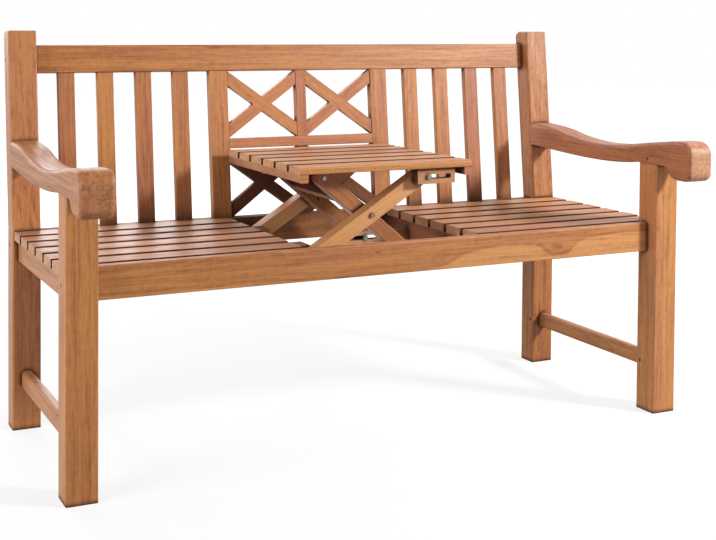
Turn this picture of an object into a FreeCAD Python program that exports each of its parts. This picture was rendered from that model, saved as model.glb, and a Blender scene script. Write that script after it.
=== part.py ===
import FreeCAD, Part
import math
import os

# Teak three-seat garden bench with a fold-up scissor table in the middle of the seat.
# Millimetres. X runs along the bench, +Y from front to back, +Z up.
# The origin is on the floor, below the middle of the bounding box.
# The table is drawn raised, which is the rest position of its joints.

Vec = FreeCAD.Vector
X_AXIS = Vec(1, 0, 0)
Y_AXIS = Vec(0, 1, 0)
Z_AXIS = Vec(0, 0, 1)

# Bench body
BENCH_WIDTH = 1500.0
SEAT_HEIGHT = 455.0
POST_HEIGHT = 910.0
LEG_WIDTH = 65.0
FRONT_LEG_DEPTH = 60.0
REAR_LEG_DEPTH = 52.0
LEG_FACE_SPACING = 469.0
BEND_ABOVE_SEAT = 2.0
RAKE_SLOPE = 0.10
LEG_EDGE_RADIUS = 4.0
POST_BACK_RADIUS = 17.0

# Joints in the wood
TENON_LENGTH = 28.0
SIDE_TENON_LENGTH = 25.0
TENON_THICKNESS = 12.0
TENON_SHOULDER = 8.0
STUB_TENON_LENGTH = 10.0
STUB_TENON_THICKNESS = 9.0
STUB_SHOULDER = 4.0
FIT_CLEARANCE = 0.15
MORTISE_END_GAP = 1.0
RAIL_EDGE_RADIUS = 2.5

# Seat frame
FRONT_RAIL_RECESS = 28.0
FRONT_RAIL_THICKNESS = 22.0
FRONT_RAIL_DEPTH = 68.0
REAR_RAIL_SETBACK = 15.0
REAR_RAIL_THICKNESS = 33.0
REAR_RAIL_TOP_STEP = 4.0
SIDE_RAIL_RECESS = 12.5
SIDE_RAIL_THICKNESS = 25.0
OPENING_WIDTH = 441.0
BEARER_THICKNESS = 25.0

# Seat slats
SEAT_SLAT_COUNT = 6
SLAT_WIDTH = 57.5
SEAT_SLAT_THICKNESS = 19.0
SEAT_SLAT_GAP = 12.2
SLAT_LEG_CLEARANCE = 1.0
SLAT_END_RECESS = 3.0
SLAT_TOP_RADIUS = 4.5
SLAT_BOTTOM_RADIUS = 1.5

# Side stretchers near the floor
STRETCHER_THICKNESS = 25.0
STRETCHER_DEPTH = 35.0
STRETCHER_TOP_HEIGHT = 135.5
STRETCHER_TOP_RADIUS = 8.0

# Armrests
ARM_WIDTH = 69.0
ARM_OVERHANG = 109.0
ARM_OUTER_PROUD = 2.0
ARM_SEAT_HEIGHT = 598.0
ARM_SCROLL_TOP = 658.5
ARM_SCROLL_BOTTOM = 567.0
ARM_TOP_NOSE_RADIUS = 30.0
ARM_BOTTOM_NOSE_RADIUS = 22.0
ARM_EDGE_RADIUS = 10.0
ARM_LOWER_EDGE_RADIUS = 4.0
ARM_TENON_WIDTH = 30.0
ARM_TENON_DEPTH = 26.0
ARM_TENON_LENGTH = 20.0
ARM_TENON_HEIGHT = 627.0
# The armrest's side view: distance behind the front leg's face, height
ARM_TOP_LINE = [
    (430, 655), (385, 650), (340, 641), (290, 633.5), (240, 629.5), (200, 629),
    (160, 631), (115, 635.5), (66, 642.5), (22, 649), (-20, 654.5),
]
ARM_REAR_TOP = 659.0
ARM_REAR_SLOPE = -0.06
ARM_SCROLL_LINE = [(-60, 567.8), (-48, 571), (-38, 578), (-31, 587)]
ARM_SCROLL_HEEL = -17.0
ARM_HEEL_LEAN = 1.0
ARM_SEAT_END = 62.0
ARM_BOTTOM_LINE = [(110, 592), (200, 588), (290, 589.5), (388, 594.5)]
ARM_REAR_BOTTOM = 600.0
LEG_TENON_HEIGHT = 22.0
LEG_TENON_WIDTH = 32.0
LEG_TENON_DEPTH = 28.0

# Back
TOP_RAIL_DROP = 31.5
TOP_RAIL_DEPTH = 65.0
TOP_RAIL_THICKNESS = 25.0
TOP_RAIL_RECESS = 25.0
BACK_SLAT_WIDTH = 40.0
BACK_SLAT_THICKNESS = 15.0
BACK_SLAT_RECESS = 28.0
BACK_SLATS_PER_SIDE = 4
STILE_CENTRE = 226.0
STILE_WIDTH = 48.0
STILE_THICKNESS = 20.0
STILE_RECESS = 26.0
MUNTIN_WIDTH = 28.0
MUNTIN_THICKNESS = 18.0
MUNTIN_RECESS = 27.0
MID_RAIL_TOP = 647.0
MID_RAIL_DEPTH = 25.0
CROSS_BAR_WIDTH = 29.0
CROSS_BAR_RECESS = 28.5
BACK_EDGE_RADIUS = 1.5

# Table top
TABLE_LIFT = 165.0
TABLE_WIDTH = 435.0
TABLE_REAR_CLEARANCE = 2.0
TABLE_SLAT_COUNT = 6
TABLE_SLAT_THICKNESS = 15.0
TABLE_SLAT_GAP = 11.4
TABLE_LOWERED_CENTRE_X = -1.2
CLEAT_WIDTH = 20.0
CLEAT_DEPTH = 18.0

# Scissor legs
LEG_BAR = 34.0
LEG_BAR_EDGE_RADIUS = 2.0
OUTER_LEG_SPACING = 304.0
INNER_LEG_SPACING = 229.0
LEG_TO_SLAT_GAP = 2.5
FRAME_HINGE_X = -185.0
FRAME_SLIDE_X = 96.0
TABLE_SLIDE_X = 110.0
TABLE_HINGE_X = -124.5
SIDE_GAP = 1.0
LEG_CROSS_RAIL_OFFSET = 62.0
LEG_CROSS_RAIL_THICKNESS = 20.0

# Wooden blocks that carry the pivots
BLOCK_THICKNESS = 20.0
FRAME_BLOCK_DEPTH = 28.0
TABLE_BLOCK_DEPTH = 36.0
BLOCK_END_WOOD = 12.0
TABLE_SLOT_LEAD = 24.0
BLOCK_EDGE_RADIUS = 1.5
HINGE_BLOCK_WIDTH = 50.0
FRAME_HINGE_BLOCK_THICKNESS = 48.0
FRAME_HINGE_BLOCK_REACH = 27.0
FRAME_HINGE_BLOCK_STEP_GAP = 2.5
LOWERED_CLEARANCE = 0.6
FRAME_SLOT_LEAD = 43.0

# Pins and bolts
PIN_DIAMETER = 8.0
PIN_FIT = 0.05
SLOT_PLAY = 1.3
SLOT_END_PLAY = 0.8
BOLT_HEAD_DIAMETER = 11.0
BOLT_HEAD_HEIGHT = 3.5
PIN_HEAD_DIAMETER = 9.5
PIN_HEAD_HEIGHT = 3.0
WASHER_DIAMETER = 14.0
WASHER_THICKNESS = 1.5
LOW_HEAD_DIAMETER = 10.0
LOW_HEAD_HEIGHT = 1.5
SPACER_DIAMETER = 18.0
HEAD_FLOAT = 0.4
BOLT_END_WOOD = 6.0

# Wooden pegs and screws
PEG_DIAMETER = 8.0
PEG_LENGTH = 48.0
CROSS_PEG_LENGTH = 40.0
CROSS_PEG_SETBACK = 12.0
PEG_FIT = 0.05
PEG_RECESS = 0.3
SCREW_DIAMETER = 4.0
SCREW_LENGTH = 35.0
SCREW_HEAD_DIAMETER = 8.0
SCREW_HEAD_HEIGHT = 3.0
SCREW_TIP_WOOD = 6.0
SCREW_FIT = 0.05
COUNTERBORE_DIAMETER = 9.0

# Margins used to pick edges and to let a cutter pass through a face
PICK_MARGIN = 0.1
CUT_MARGIN = 1.0

# Places that follow from the dimensions above
HALF_WIDTH = BENCH_WIDTH / 2
LEG_INNER_X = HALF_WIDTH - LEG_WIDTH
LEG_CENTRE_X = HALF_WIDTH - LEG_WIDTH / 2
RAKE_START_HEIGHT = SEAT_HEIGHT + BEND_ABOVE_SEAT
RAKE_ANGLE = math.atan(RAKE_SLOPE)
DEPTH_BELOW_BEND = LEG_FACE_SPACING + REAR_LEG_DEPTH
POST_LEAN = (POST_HEIGHT - RAKE_START_HEIGHT) * RAKE_SLOPE
POST_BACK_REACH = (
    POST_LEAN - POST_BACK_RADIUS * RAKE_SLOPE - POST_BACK_RADIUS * (1 / math.cos(RAKE_ANGLE) - 1)
)
OVERALL_DEPTH = ARM_OVERHANG + DEPTH_BELOW_BEND + POST_BACK_REACH
FRONT_Y = ARM_OVERHANG - OVERALL_DEPTH / 2
FRONT_LEG_BACK_Y = FRONT_Y + FRONT_LEG_DEPTH
REAR_LEG_Y = FRONT_Y + LEG_FACE_SPACING
REAR_LEG_BACK_Y = REAR_LEG_Y + REAR_LEG_DEPTH

SEAT_RAIL_BOTTOM = SEAT_HEIGHT - FRONT_RAIL_DEPTH
BEARER_TOP = SEAT_HEIGHT - SEAT_SLAT_THICKNESS
FRONT_RAIL_Y = FRONT_Y + FRONT_RAIL_RECESS
FRONT_RAIL_BACK_Y = FRONT_RAIL_Y + FRONT_RAIL_THICKNESS
REAR_RAIL_Y = REAR_LEG_Y + REAR_RAIL_SETBACK
REAR_RAIL_BACK_Y = REAR_RAIL_Y + REAR_RAIL_THICKNESS
REAR_RAIL_TOP = SEAT_HEIGHT - REAR_RAIL_TOP_STEP
SIDE_RAIL_OUTER_X = HALF_WIDTH - SIDE_RAIL_RECESS
OPENING_X = OPENING_WIDTH / 2
SLAT_OUTER_X = HALF_WIDTH - SLAT_END_RECESS
SLAT_FIRST_Y = FRONT_LEG_BACK_Y + SLAT_LEG_CLEARANCE

TOP_RAIL_TOP = POST_HEIGHT - TOP_RAIL_DROP
STILE_OUTER_X = STILE_CENTRE + STILE_WIDTH / 2
BACK_SLAT_GAP = (
    (LEG_INNER_X - STILE_OUTER_X - BACK_SLATS_PER_SIDE * BACK_SLAT_WIDTH) / (BACK_SLATS_PER_SIDE + 1)
)
BACK_SLAT_PITCH = BACK_SLAT_WIDTH + BACK_SLAT_GAP

TABLE_HEIGHT = SEAT_HEIGHT + TABLE_LIFT
TABLE_DEPTH = TABLE_SLAT_COUNT * SLAT_WIDTH + (TABLE_SLAT_COUNT - 1) * TABLE_SLAT_GAP
TABLE_BACK_Y = REAR_RAIL_Y - TABLE_REAR_CLEARANCE
TABLE_FRONT_Y = TABLE_BACK_Y - TABLE_DEPTH
TABLE_MID_Y = (TABLE_FRONT_Y + TABLE_BACK_Y) / 2
TABLE_UNDERSIDE = TABLE_HEIGHT - TABLE_SLAT_THICKNESS
TABLE_PIVOT_HEIGHT = TABLE_UNDERSIDE - LEG_BAR / 2 - LEG_TO_SLAT_GAP
LOWERED_UNDERSIDE = SEAT_HEIGHT - TABLE_SLAT_THICKNESS

# The linkage: each leg leans from its pivot on the frame to its pivot under the table
PIVOT_LINE_HEIGHT = SEAT_RAIL_BOTTOM + LEG_BAR / 2
RAISED_RISE = TABLE_PIVOT_HEIGHT - PIVOT_LINE_HEIGHT
LOWERED_RISE = RAISED_RISE - TABLE_LIFT
OUTER_RUN = TABLE_SLIDE_X - FRAME_HINGE_X
INNER_RUN = FRAME_SLIDE_X - TABLE_HINGE_X
OUTER_LENGTH = math.hypot(OUTER_RUN, RAISED_RISE)
INNER_LENGTH = math.hypot(INNER_RUN, RAISED_RISE)
OUTER_ANGLE = math.atan2(RAISED_RISE, OUTER_RUN)
INNER_ANGLE = math.atan2(RAISED_RISE, INNER_RUN)
FRAME_BASE = FRAME_SLIDE_X - FRAME_HINGE_X
TABLE_BASE = TABLE_SLIDE_X - TABLE_HINGE_X
CROSSING_SHARE = FRAME_BASE / (FRAME_BASE + TABLE_BASE)
CROSSING_X = FRAME_HINGE_X + CROSSING_SHARE * OUTER_RUN
CROSSING_Z = PIVOT_LINE_HEIGHT + CROSSING_SHARE * RAISED_RISE
OUTER_LOWERED_RUN = math.sqrt(OUTER_LENGTH ** 2 - LOWERED_RISE ** 2)
INNER_LOWERED_RUN = math.sqrt(INNER_LENGTH ** 2 - LOWERED_RISE ** 2)
TABLE_HINGE_LOWERED_X = (
    FRAME_HINGE_X
    + CROSSING_SHARE * OUTER_LOWERED_RUN
    - (1 - CROSSING_SHARE) * INNER_LOWERED_RUN
)
TABLE_SHIFT = TABLE_HINGE_X - TABLE_HINGE_LOWERED_X
TABLE_CENTRE_X = TABLE_LOWERED_CENTRE_X + TABLE_SHIFT
TABLE_SLIDE_TRAVEL = OUTER_LOWERED_RUN - OUTER_RUN + TABLE_SHIFT
FRAME_SLIDE_TRAVEL = CROSSING_SHARE * (
    OUTER_LOWERED_RUN - OUTER_RUN + INNER_LOWERED_RUN - INNER_RUN
)
OUTER_LEG_Y = TABLE_MID_Y - (OUTER_LEG_SPACING + LEG_BAR) / 2
INNER_LEG_Y = TABLE_MID_Y - (INNER_LEG_SPACING + LEG_BAR) / 2
TABLE_SLIDE_BLOCK_Y = OUTER_LEG_Y - SIDE_GAP - BLOCK_THICKNESS
INNER_BLOCK_Y = INNER_LEG_Y + LEG_BAR + SIDE_GAP
FRAME_HINGE_BLOCK_Y = OUTER_LEG_Y + LEG_BAR + SIDE_GAP

pieces = {}


def box(x0, x1, y0, y1, z0, z1):
    """A box between the given limits, in any order along X."""
    low, high = min(x0, x1), max(x0, x1)
    return Part.makeBox(high - low, y1 - y0, z1 - z0, Vec(low, y0, z0))


def rod(x, y, z, radius, length, axis):
    """A cylinder that starts at the point and runs along the axis."""
    return Part.makeCylinder(radius, length, Vec(x, y, z), axis)


def long_edges(shape, axis, side=None):
    """The straight edges parallel to the axis, kept only where side(midpoint) is true."""
    found = []
    for edge in shape.Edges:
        start, end = edge.Vertexes[0].Point, edge.Vertexes[-1].Point
        run = end - start
        if run.Length == 0 or abs(run.dot(axis)) < run.Length - PICK_MARGIN:
            continue
        if side is None or side((start + end) * 0.5):
            found.append(edge)
    return found


def soften(shape, radius, axis, side=None):
    """Round the chosen long edges."""
    return shape.makeFillet(radius, long_edges(shape, axis, side))


def mirrored_x(shape):
    return shape.mirror(Vec(0, 0, 0), X_AXIS)


def mirrored_in_table(shape):
    """The matching piece of the rear scissor frame."""
    return shape.mirror(Vec(0, TABLE_MID_Y, 0), Y_AXIS)


def raked(shape):
    """Lean a shape that was drawn upright over the rear leg's bend."""
    turned = shape.copy()
    turned.rotate(Vec(0, REAR_LEG_Y, RAKE_START_HEIGHT), X_AXIS, -math.degrees(RAKE_ANGLE))
    return turned


def rake_height(z):
    """Height along the leaning back that ends up at height z."""
    return RAKE_START_HEIGHT + (z - RAKE_START_HEIGHT) / math.cos(RAKE_ANGLE)


def grown(limits, clearance):
    """Limits of a pocket around a tongue of the given limits."""
    return [value + clearance * (1 if index % 2 else -1) for index, value in enumerate(limits)]


def add(name, shape):
    pieces[name] = shape


def carve(name, tool):
    pieces[name] = pieces[name].cut(tool)


def legs():
    front = box(LEG_INNER_X, HALF_WIDTH, FRONT_Y, FRONT_LEG_BACK_Y, 0, ARM_SEAT_HEIGHT)
    front = soften(front, LEG_EDGE_RADIUS, Z_AXIS)
    tongue = box(
        LEG_CENTRE_X - LEG_TENON_WIDTH / 2, LEG_CENTRE_X + LEG_TENON_WIDTH / 2,
        FRONT_Y + (FRONT_LEG_DEPTH - LEG_TENON_DEPTH) / 2,
        FRONT_Y + (FRONT_LEG_DEPTH + LEG_TENON_DEPTH) / 2,
        ARM_SEAT_HEIGHT, ARM_SEAT_HEIGHT + LEG_TENON_HEIGHT,
    )
    front = front.fuse(tongue).removeSplitter()
    outline = [
        Vec(LEG_INNER_X, REAR_LEG_Y, 0),
        Vec(LEG_INNER_X, REAR_LEG_Y, RAKE_START_HEIGHT),
        Vec(LEG_INNER_X, REAR_LEG_Y + POST_LEAN, POST_HEIGHT),
        Vec(LEG_INNER_X, REAR_LEG_BACK_Y + POST_LEAN, POST_HEIGHT),
        Vec(LEG_INNER_X, REAR_LEG_BACK_Y, RAKE_START_HEIGHT),
        Vec(LEG_INNER_X, REAR_LEG_BACK_Y, 0),
        Vec(LEG_INNER_X, REAR_LEG_Y, 0),
    ]
    rear = Part.Face(Part.makePolygon(outline)).extrude(Vec(LEG_WIDTH, 0, 0))
    rear = soften(rear, POST_BACK_RADIUS, X_AXIS, lambda p: p.z > POST_HEIGHT - PICK_MARGIN
                  and p.y > REAR_LEG_BACK_Y)
    outer_edges = [
        edge for edge in rear.Edges
        if edge.BoundBox.XLength < PICK_MARGIN and edge.CenterOfMass.z > PICK_MARGIN
    ]
    rear = rear.makeFillet(LEG_EDGE_RADIUS, outer_edges)
    for side, mirror in (("right", False), ("left", True)):
        add("front_leg_" + side, mirrored_x(front) if mirror else front)
        add("rear_leg_" + side, mirrored_x(rear) if mirror else rear)


def rail_along_x(name, y0, y1, z0, z1, half_length, tenon_length, left_host, right_host, place=None):
    """A rail between two uprights, with a tenon in each."""
    rail = soften(box(-half_length, half_length, y0, y1, z0, z1), RAIL_EDGE_RADIUS, X_AXIS)
    mid_y = (y0 + y1) / 2
    for sign, host in ((-1, left_host), (1, right_host)):
        limits = [
            half_length, half_length + tenon_length,
            mid_y - TENON_THICKNESS / 2, mid_y + TENON_THICKNESS / 2,
            z0 + TENON_SHOULDER, z1 - TENON_SHOULDER,
        ]
        pocket = grown(limits, FIT_CLEARANCE)
        pocket[0] = half_length
        pocket[1] = limits[1] + MORTISE_END_GAP
        tongue, hole = box(*limits), box(*pocket)
        if sign < 0:
            tongue, hole = mirrored_x(tongue), mirrored_x(hole)
        rail = rail.fuse(tongue)
        carve(host, place(hole) if place else hole)
    rail = rail.removeSplitter()
    add(name, place(rail) if place else rail)


def rail_along_y(x0, x1, y0, y1, z0, z1, tenon_length, radius, rounded):
    """A rail from front to back with a tenon at each end, and the pockets for them."""
    rail = soften(box(x0, x1, y0, y1, z0, z1), radius, Y_AXIS, rounded)
    mid_x = (x0 + x1) / 2
    holes = []
    for start, end in ((y0 - tenon_length, y0), (y1, y1 + tenon_length)):
        limits = [
            mid_x - TENON_THICKNESS / 2, mid_x + TENON_THICKNESS / 2,
            start, end,
            z0 + TENON_SHOULDER, z1 - TENON_SHOULDER,
        ]
        pocket = grown(limits, FIT_CLEARANCE)
        pocket[2] = start - MORTISE_END_GAP if start < y0 else start
        pocket[3] = end if start < y0 else end + MORTISE_END_GAP
        rail = rail.fuse(box(*limits))
        holes.append(box(*pocket))
    return rail.removeSplitter(), holes


def seat_frame():
    rail_along_x(
        "front_seat_rail", FRONT_RAIL_Y, FRONT_RAIL_BACK_Y, SEAT_RAIL_BOTTOM, SEAT_HEIGHT,
        LEG_INNER_X, TENON_LENGTH, "front_leg_left", "front_leg_right",
    )
    rail_along_x(
        "rear_seat_rail", REAR_RAIL_Y, REAR_RAIL_BACK_Y, SEAT_RAIL_BOTTOM, REAR_RAIL_TOP,
        LEG_INNER_X, TENON_LENGTH, "rear_leg_left", "rear_leg_right",
    )
    side_rail, side_holes = rail_along_y(
        SIDE_RAIL_OUTER_X - SIDE_RAIL_THICKNESS, SIDE_RAIL_OUTER_X,
        FRONT_LEG_BACK_Y, REAR_LEG_Y, SEAT_RAIL_BOTTOM, BEARER_TOP,
        SIDE_TENON_LENGTH, RAIL_EDGE_RADIUS, lambda p: p.z < BEARER_TOP - PICK_MARGIN,
    )
    stretcher, stretcher_holes = rail_along_y(
        LEG_CENTRE_X - STRETCHER_THICKNESS / 2, LEG_CENTRE_X + STRETCHER_THICKNESS / 2,
        FRONT_LEG_BACK_Y, REAR_LEG_Y, STRETCHER_TOP_HEIGHT - STRETCHER_DEPTH, STRETCHER_TOP_HEIGHT,
        SIDE_TENON_LENGTH, STRETCHER_TOP_RADIUS, lambda p: p.z > STRETCHER_TOP_HEIGHT - PICK_MARGIN,
    )
    bearer, bearer_holes = rail_along_y(
        OPENING_X, OPENING_X + BEARER_THICKNESS,
        FRONT_RAIL_BACK_Y, REAR_RAIL_Y, SEAT_RAIL_BOTTOM, BEARER_TOP,
        STUB_TENON_LENGTH, RAIL_EDGE_RADIUS, lambda p: p.z < BEARER_TOP - PICK_MARGIN,
    )
    for side, mirror in (("right", False), ("left", True)):
        add("side_seat_rail_" + side, mirrored_x(side_rail) if mirror else side_rail)
        add("side_stretcher_" + side, mirrored_x(stretcher) if mirror else stretcher)
        add("seat_bearer_" + side, mirrored_x(bearer) if mirror else bearer)
        for front_hole, rear_hole in (side_holes, stretcher_holes):
            carve("front_leg_" + side, mirrored_x(front_hole) if mirror else front_hole)
            carve("rear_leg_" + side, mirrored_x(rear_hole) if mirror else rear_hole)
        carve("front_seat_rail", mirrored_x(bearer_holes[0]) if mirror else bearer_holes[0])
        carve("rear_seat_rail", mirrored_x(bearer_holes[1]) if mirror else bearer_holes[1])


def armrests():
    inner_x = HALF_WIDTH + ARM_OUTER_PROUD - ARM_WIDTH
    front_y = FRONT_Y - ARM_OVERHANG

    def point(y, z):
        return Vec(inner_x, y, z)

    def nose(tip_z, radius, rise):
        """A quarter circle between the front face and the point at tip_z, above or below it."""
        middle_y, middle_z = front_y + radius, tip_z - rise * radius
        reach = radius * math.sqrt(0.5)
        ends = point(middle_y, tip_z), point(front_y, middle_z)
        return ends, Part.Arc(ends[0], point(middle_y - reach, middle_z + rise * reach), ends[1])

    def from_leg(pair):
        return point(FRONT_Y + pair[0], pair[1])

    def on_post(z):
        return point(REAR_LEG_Y + (z - RAKE_START_HEIGHT) * RAKE_SLOPE, z)

    (nose_top, face_top), upper_nose = nose(ARM_SCROLL_TOP, ARM_TOP_NOSE_RADIUS, 1)
    (nose_bottom, face_bottom), lower_nose = nose(ARM_SCROLL_BOTTOM, ARM_BOTTOM_NOSE_RADIUS, -1)
    top = Part.BSplineCurve()
    top.interpolate(
        Points=[on_post(ARM_REAR_TOP)] + [from_leg(pair) for pair in ARM_TOP_LINE] + [nose_top],
        InitialTangent=Vec(0, -1, ARM_REAR_SLOPE), FinalTangent=Vec(0, -1, 0),
    )
    face = Part.LineSegment(face_top, face_bottom)
    heel = point(FRONT_Y + ARM_SCROLL_HEEL, ARM_SEAT_HEIGHT)
    scroll = Part.BSplineCurve()
    scroll.interpolate(
        Points=[nose_bottom] + [from_leg(pair) for pair in ARM_SCROLL_LINE] + [heel],
        InitialTangent=Vec(0, 1, 0), FinalTangent=Vec(0, ARM_HEEL_LEAN, 1),
    )
    seat_end = point(FRONT_Y + ARM_SEAT_END, ARM_SEAT_HEIGHT)
    seat = Part.LineSegment(heel, seat_end)
    bottom = Part.BSplineCurve()
    bottom.interpolate(
        [seat_end] + [from_leg(pair) for pair in ARM_BOTTOM_LINE] + [on_post(ARM_REAR_BOTTOM)]
    )
    rear = Part.LineSegment(on_post(ARM_REAR_BOTTOM), on_post(ARM_REAR_TOP))
    outline = [top, upper_nose, face, lower_nose, scroll, seat, bottom, rear]
    wire = Part.Wire([curve.toShape() for curve in outline])
    arm = Part.Face(wire).extrude(Vec(ARM_WIDTH, 0, 0))

    def side_edges(shape, test):
        return [
            edge for edge in shape.Edges
            if edge.BoundBox.XLength < PICK_MARGIN and test(edge.BoundBox)
        ]

    arm = arm.makeFillet(ARM_EDGE_RADIUS, side_edges(
        arm, lambda b: b.YMin < REAR_LEG_Y - PICK_MARGIN
        and (b.ZMax > ARM_SCROLL_TOP - PICK_MARGIN or b.YMax < heel.y + PICK_MARGIN)
    ))
    arm = arm.makeFillet(ARM_LOWER_EDGE_RADIUS, side_edges(
        arm, lambda b: b.YMin > seat_end.y - PICK_MARGIN and b.ZMax < ARM_REAR_BOTTOM + PICK_MARGIN
    ))

    pocket = box(
        LEG_CENTRE_X - LEG_TENON_WIDTH / 2 - FIT_CLEARANCE,
        LEG_CENTRE_X + LEG_TENON_WIDTH / 2 + FIT_CLEARANCE,
        FRONT_Y + (FRONT_LEG_DEPTH - LEG_TENON_DEPTH) / 2 - FIT_CLEARANCE,
        FRONT_Y + (FRONT_LEG_DEPTH + LEG_TENON_DEPTH) / 2 + FIT_CLEARANCE,
        ARM_SEAT_HEIGHT, ARM_SEAT_HEIGHT + LEG_TENON_HEIGHT + MORTISE_END_GAP,
    )
    arm = arm.cut(pocket)
    tongue_z = rake_height(ARM_TENON_HEIGHT)
    limits = [
        LEG_CENTRE_X - ARM_TENON_WIDTH / 2, LEG_CENTRE_X + ARM_TENON_WIDTH / 2,
        REAR_LEG_Y, REAR_LEG_Y + ARM_TENON_LENGTH,
        tongue_z - ARM_TENON_DEPTH / 2, tongue_z + ARM_TENON_DEPTH / 2,
    ]
    hole = grown(limits, FIT_CLEARANCE)
    hole[2] = REAR_LEG_Y
    hole[3] = limits[3] + MORTISE_END_GAP
    arm = arm.fuse(raked(box(*limits))).removeSplitter()
    rear_hole = raked(box(*hole))
    for side, mirror in (("right", False), ("left", True)):
        add("armrest_" + side, mirrored_x(arm) if mirror else arm)
        carve("rear_leg_" + side, mirrored_x(rear_hole) if mirror else rear_hole)


def above_rear_rail(shape):
    """Trim a leaning piece so that it stands flush on the rear seat rail."""
    return shape.cut(box(
        -LEG_INNER_X, LEG_INNER_X, REAR_RAIL_Y, REAR_RAIL_BACK_Y, SEAT_RAIL_BOTTOM, REAR_RAIL_TOP
    ))


def upright(x, width, recess, thickness, z0, z1, low_host, high_host):
    """A vertical strip of the back, with a stub tenon in the rail at each end."""
    strip = box(
        x - width / 2, x + width / 2,
        REAR_LEG_Y + recess, REAR_LEG_Y + recess + thickness, z0, z1,
    )
    strip = above_rear_rail(raked(soften(strip, BACK_EDGE_RADIUS, Z_AXIS)))
    half_stub = width / 2 - STUB_SHOULDER
    mid_y = REAR_LEG_Y + recess + thickness / 2
    limits = [
        x - half_stub, x + half_stub,
        mid_y - STUB_TENON_THICKNESS / 2, mid_y + STUB_TENON_THICKNESS / 2,
        z0 - STUB_TENON_LENGTH, z1 + STUB_TENON_LENGTH,
    ]
    pocket = raked(box(*grown(limits, FIT_CLEARANCE)))
    carve(low_host, pocket)
    carve(high_host, pocket)
    return strip.fuse(raked(box(*limits))).removeSplitter()


def cross(x0, x1, z0, z1):
    """Two bars that run from corner to corner of a field and are halved where they meet."""
    width, height = x1 - x0, z1 - z0
    reach = math.hypot(width, height)
    slope = math.acos(CROSS_BAR_WIDTH / reach) - math.atan2(width, height)
    mid_x, mid_z = (x0 + x1) / 2, (z0 + z1) / 2
    front, back = REAR_LEG_Y + CROSS_BAR_RECESS, REAR_LEG_Y + CROSS_BAR_RECESS + BACK_SLAT_THICKNESS
    field = box(x0, x1, front, back, z0, z1)

    def bar(angle, y0, y1, width_of_bar):
        shape = box(
            mid_x - reach, mid_x + reach, y0, y1, mid_z - width_of_bar / 2, mid_z + width_of_bar / 2
        )
        shape.rotate(Vec(mid_x, 0, mid_z), Y_AXIS, -math.degrees(angle))
        return shape

    halving = (front + back) / 2
    rising = bar(slope, front, back, CROSS_BAR_WIDTH).common(field)
    falling = bar(-slope, front, back, CROSS_BAR_WIDTH).common(field)
    notch_width = CROSS_BAR_WIDTH + 2 * FIT_CLEARANCE
    rising = rising.cut(bar(-slope, halving - FIT_CLEARANCE / 2, back, notch_width))
    falling = falling.cut(bar(slope, front, halving + FIT_CLEARANCE / 2, notch_width))
    return Part.makeCompound([above_rear_rail(raked(rising)), above_rear_rail(raked(falling))])


def back():
    rail_bottom = TOP_RAIL_TOP - TOP_RAIL_DEPTH
    low, high = rake_height(rail_bottom), rake_height(TOP_RAIL_TOP)
    rail_along_x(
        "top_rail", REAR_LEG_Y + TOP_RAIL_RECESS, REAR_LEG_Y + TOP_RAIL_RECESS + TOP_RAIL_THICKNESS,
        low, high, LEG_INNER_X, TENON_LENGTH, "rear_leg_left", "rear_leg_right", raked,
    )
    foot = rake_height(REAR_RAIL_TOP)
    for side, sign in (("left", -1), ("right", 1)):
        slats = []
        for index in range(BACK_SLATS_PER_SIDE):
            place = STILE_OUTER_X + BACK_SLAT_GAP + BACK_SLAT_WIDTH / 2 + index * BACK_SLAT_PITCH
            slats.append(upright(
                sign * place, BACK_SLAT_WIDTH, BACK_SLAT_RECESS, BACK_SLAT_THICKNESS,
                foot, low, "rear_seat_rail", "top_rail",
            ))
        add("back_slats_" + side, Part.makeCompound(slats))
        add("back_stile_" + side, upright(
            sign * STILE_CENTRE, STILE_WIDTH, STILE_RECESS, STILE_THICKNESS,
            foot, low, "rear_seat_rail", "top_rail",
        ))
    field_x = STILE_CENTRE - STILE_WIDTH / 2
    mid_top, mid_bottom = rake_height(MID_RAIL_TOP), rake_height(MID_RAIL_TOP - MID_RAIL_DEPTH)
    mid_y = REAR_LEG_Y + STILE_RECESS
    rail_along_x(
        "back_mid_rail", mid_y, mid_y + STILE_THICKNESS, mid_bottom, mid_top, field_x,
        STUB_TENON_LENGTH, "back_stile_left", "back_stile_right", raked,
    )
    add("back_muntin_lower", upright(
        0, MUNTIN_WIDTH, MUNTIN_RECESS, MUNTIN_THICKNESS,
        foot, mid_bottom, "rear_seat_rail", "back_mid_rail",
    ))
    add("back_muntin_upper", upright(
        0, MUNTIN_WIDTH, MUNTIN_RECESS, MUNTIN_THICKNESS,
        mid_top, low, "back_mid_rail", "top_rail",
    ))
    edge = MUNTIN_WIDTH / 2
    for level, z0, z1 in (("lower", foot, mid_bottom), ("upper", mid_top, low)):
        add("back_cross_" + level + "_right", cross(edge, field_x, z0, z1))
        add("back_cross_" + level + "_left", cross(-field_x, -edge, z0, z1))


def slat(x0, x1, y0, z0, thickness):
    """A flat slat along X with softly rounded upper edges."""
    top = z0 + thickness
    plank = box(x0, x1, y0, y0 + SLAT_WIDTH, z0, top)
    plank = soften(plank, SLAT_TOP_RADIUS, X_AXIS, lambda p: p.z > top - PICK_MARGIN)
    return soften(plank, SLAT_BOTTOM_RADIUS, X_AXIS, lambda p: p.z < z0 + PICK_MARGIN)


def seat_slats():
    for index in range(SEAT_SLAT_COUNT):
        y = SLAT_FIRST_Y + index * (SLAT_WIDTH + SEAT_SLAT_GAP)
        plank = slat(OPENING_X, SLAT_OUTER_X, y, BEARER_TOP, SEAT_SLAT_THICKNESS)
        add("seat_slat_right_%d" % (index + 1), plank)
        add("seat_slat_left_%d" % (index + 1), mirrored_x(plank))


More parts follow.
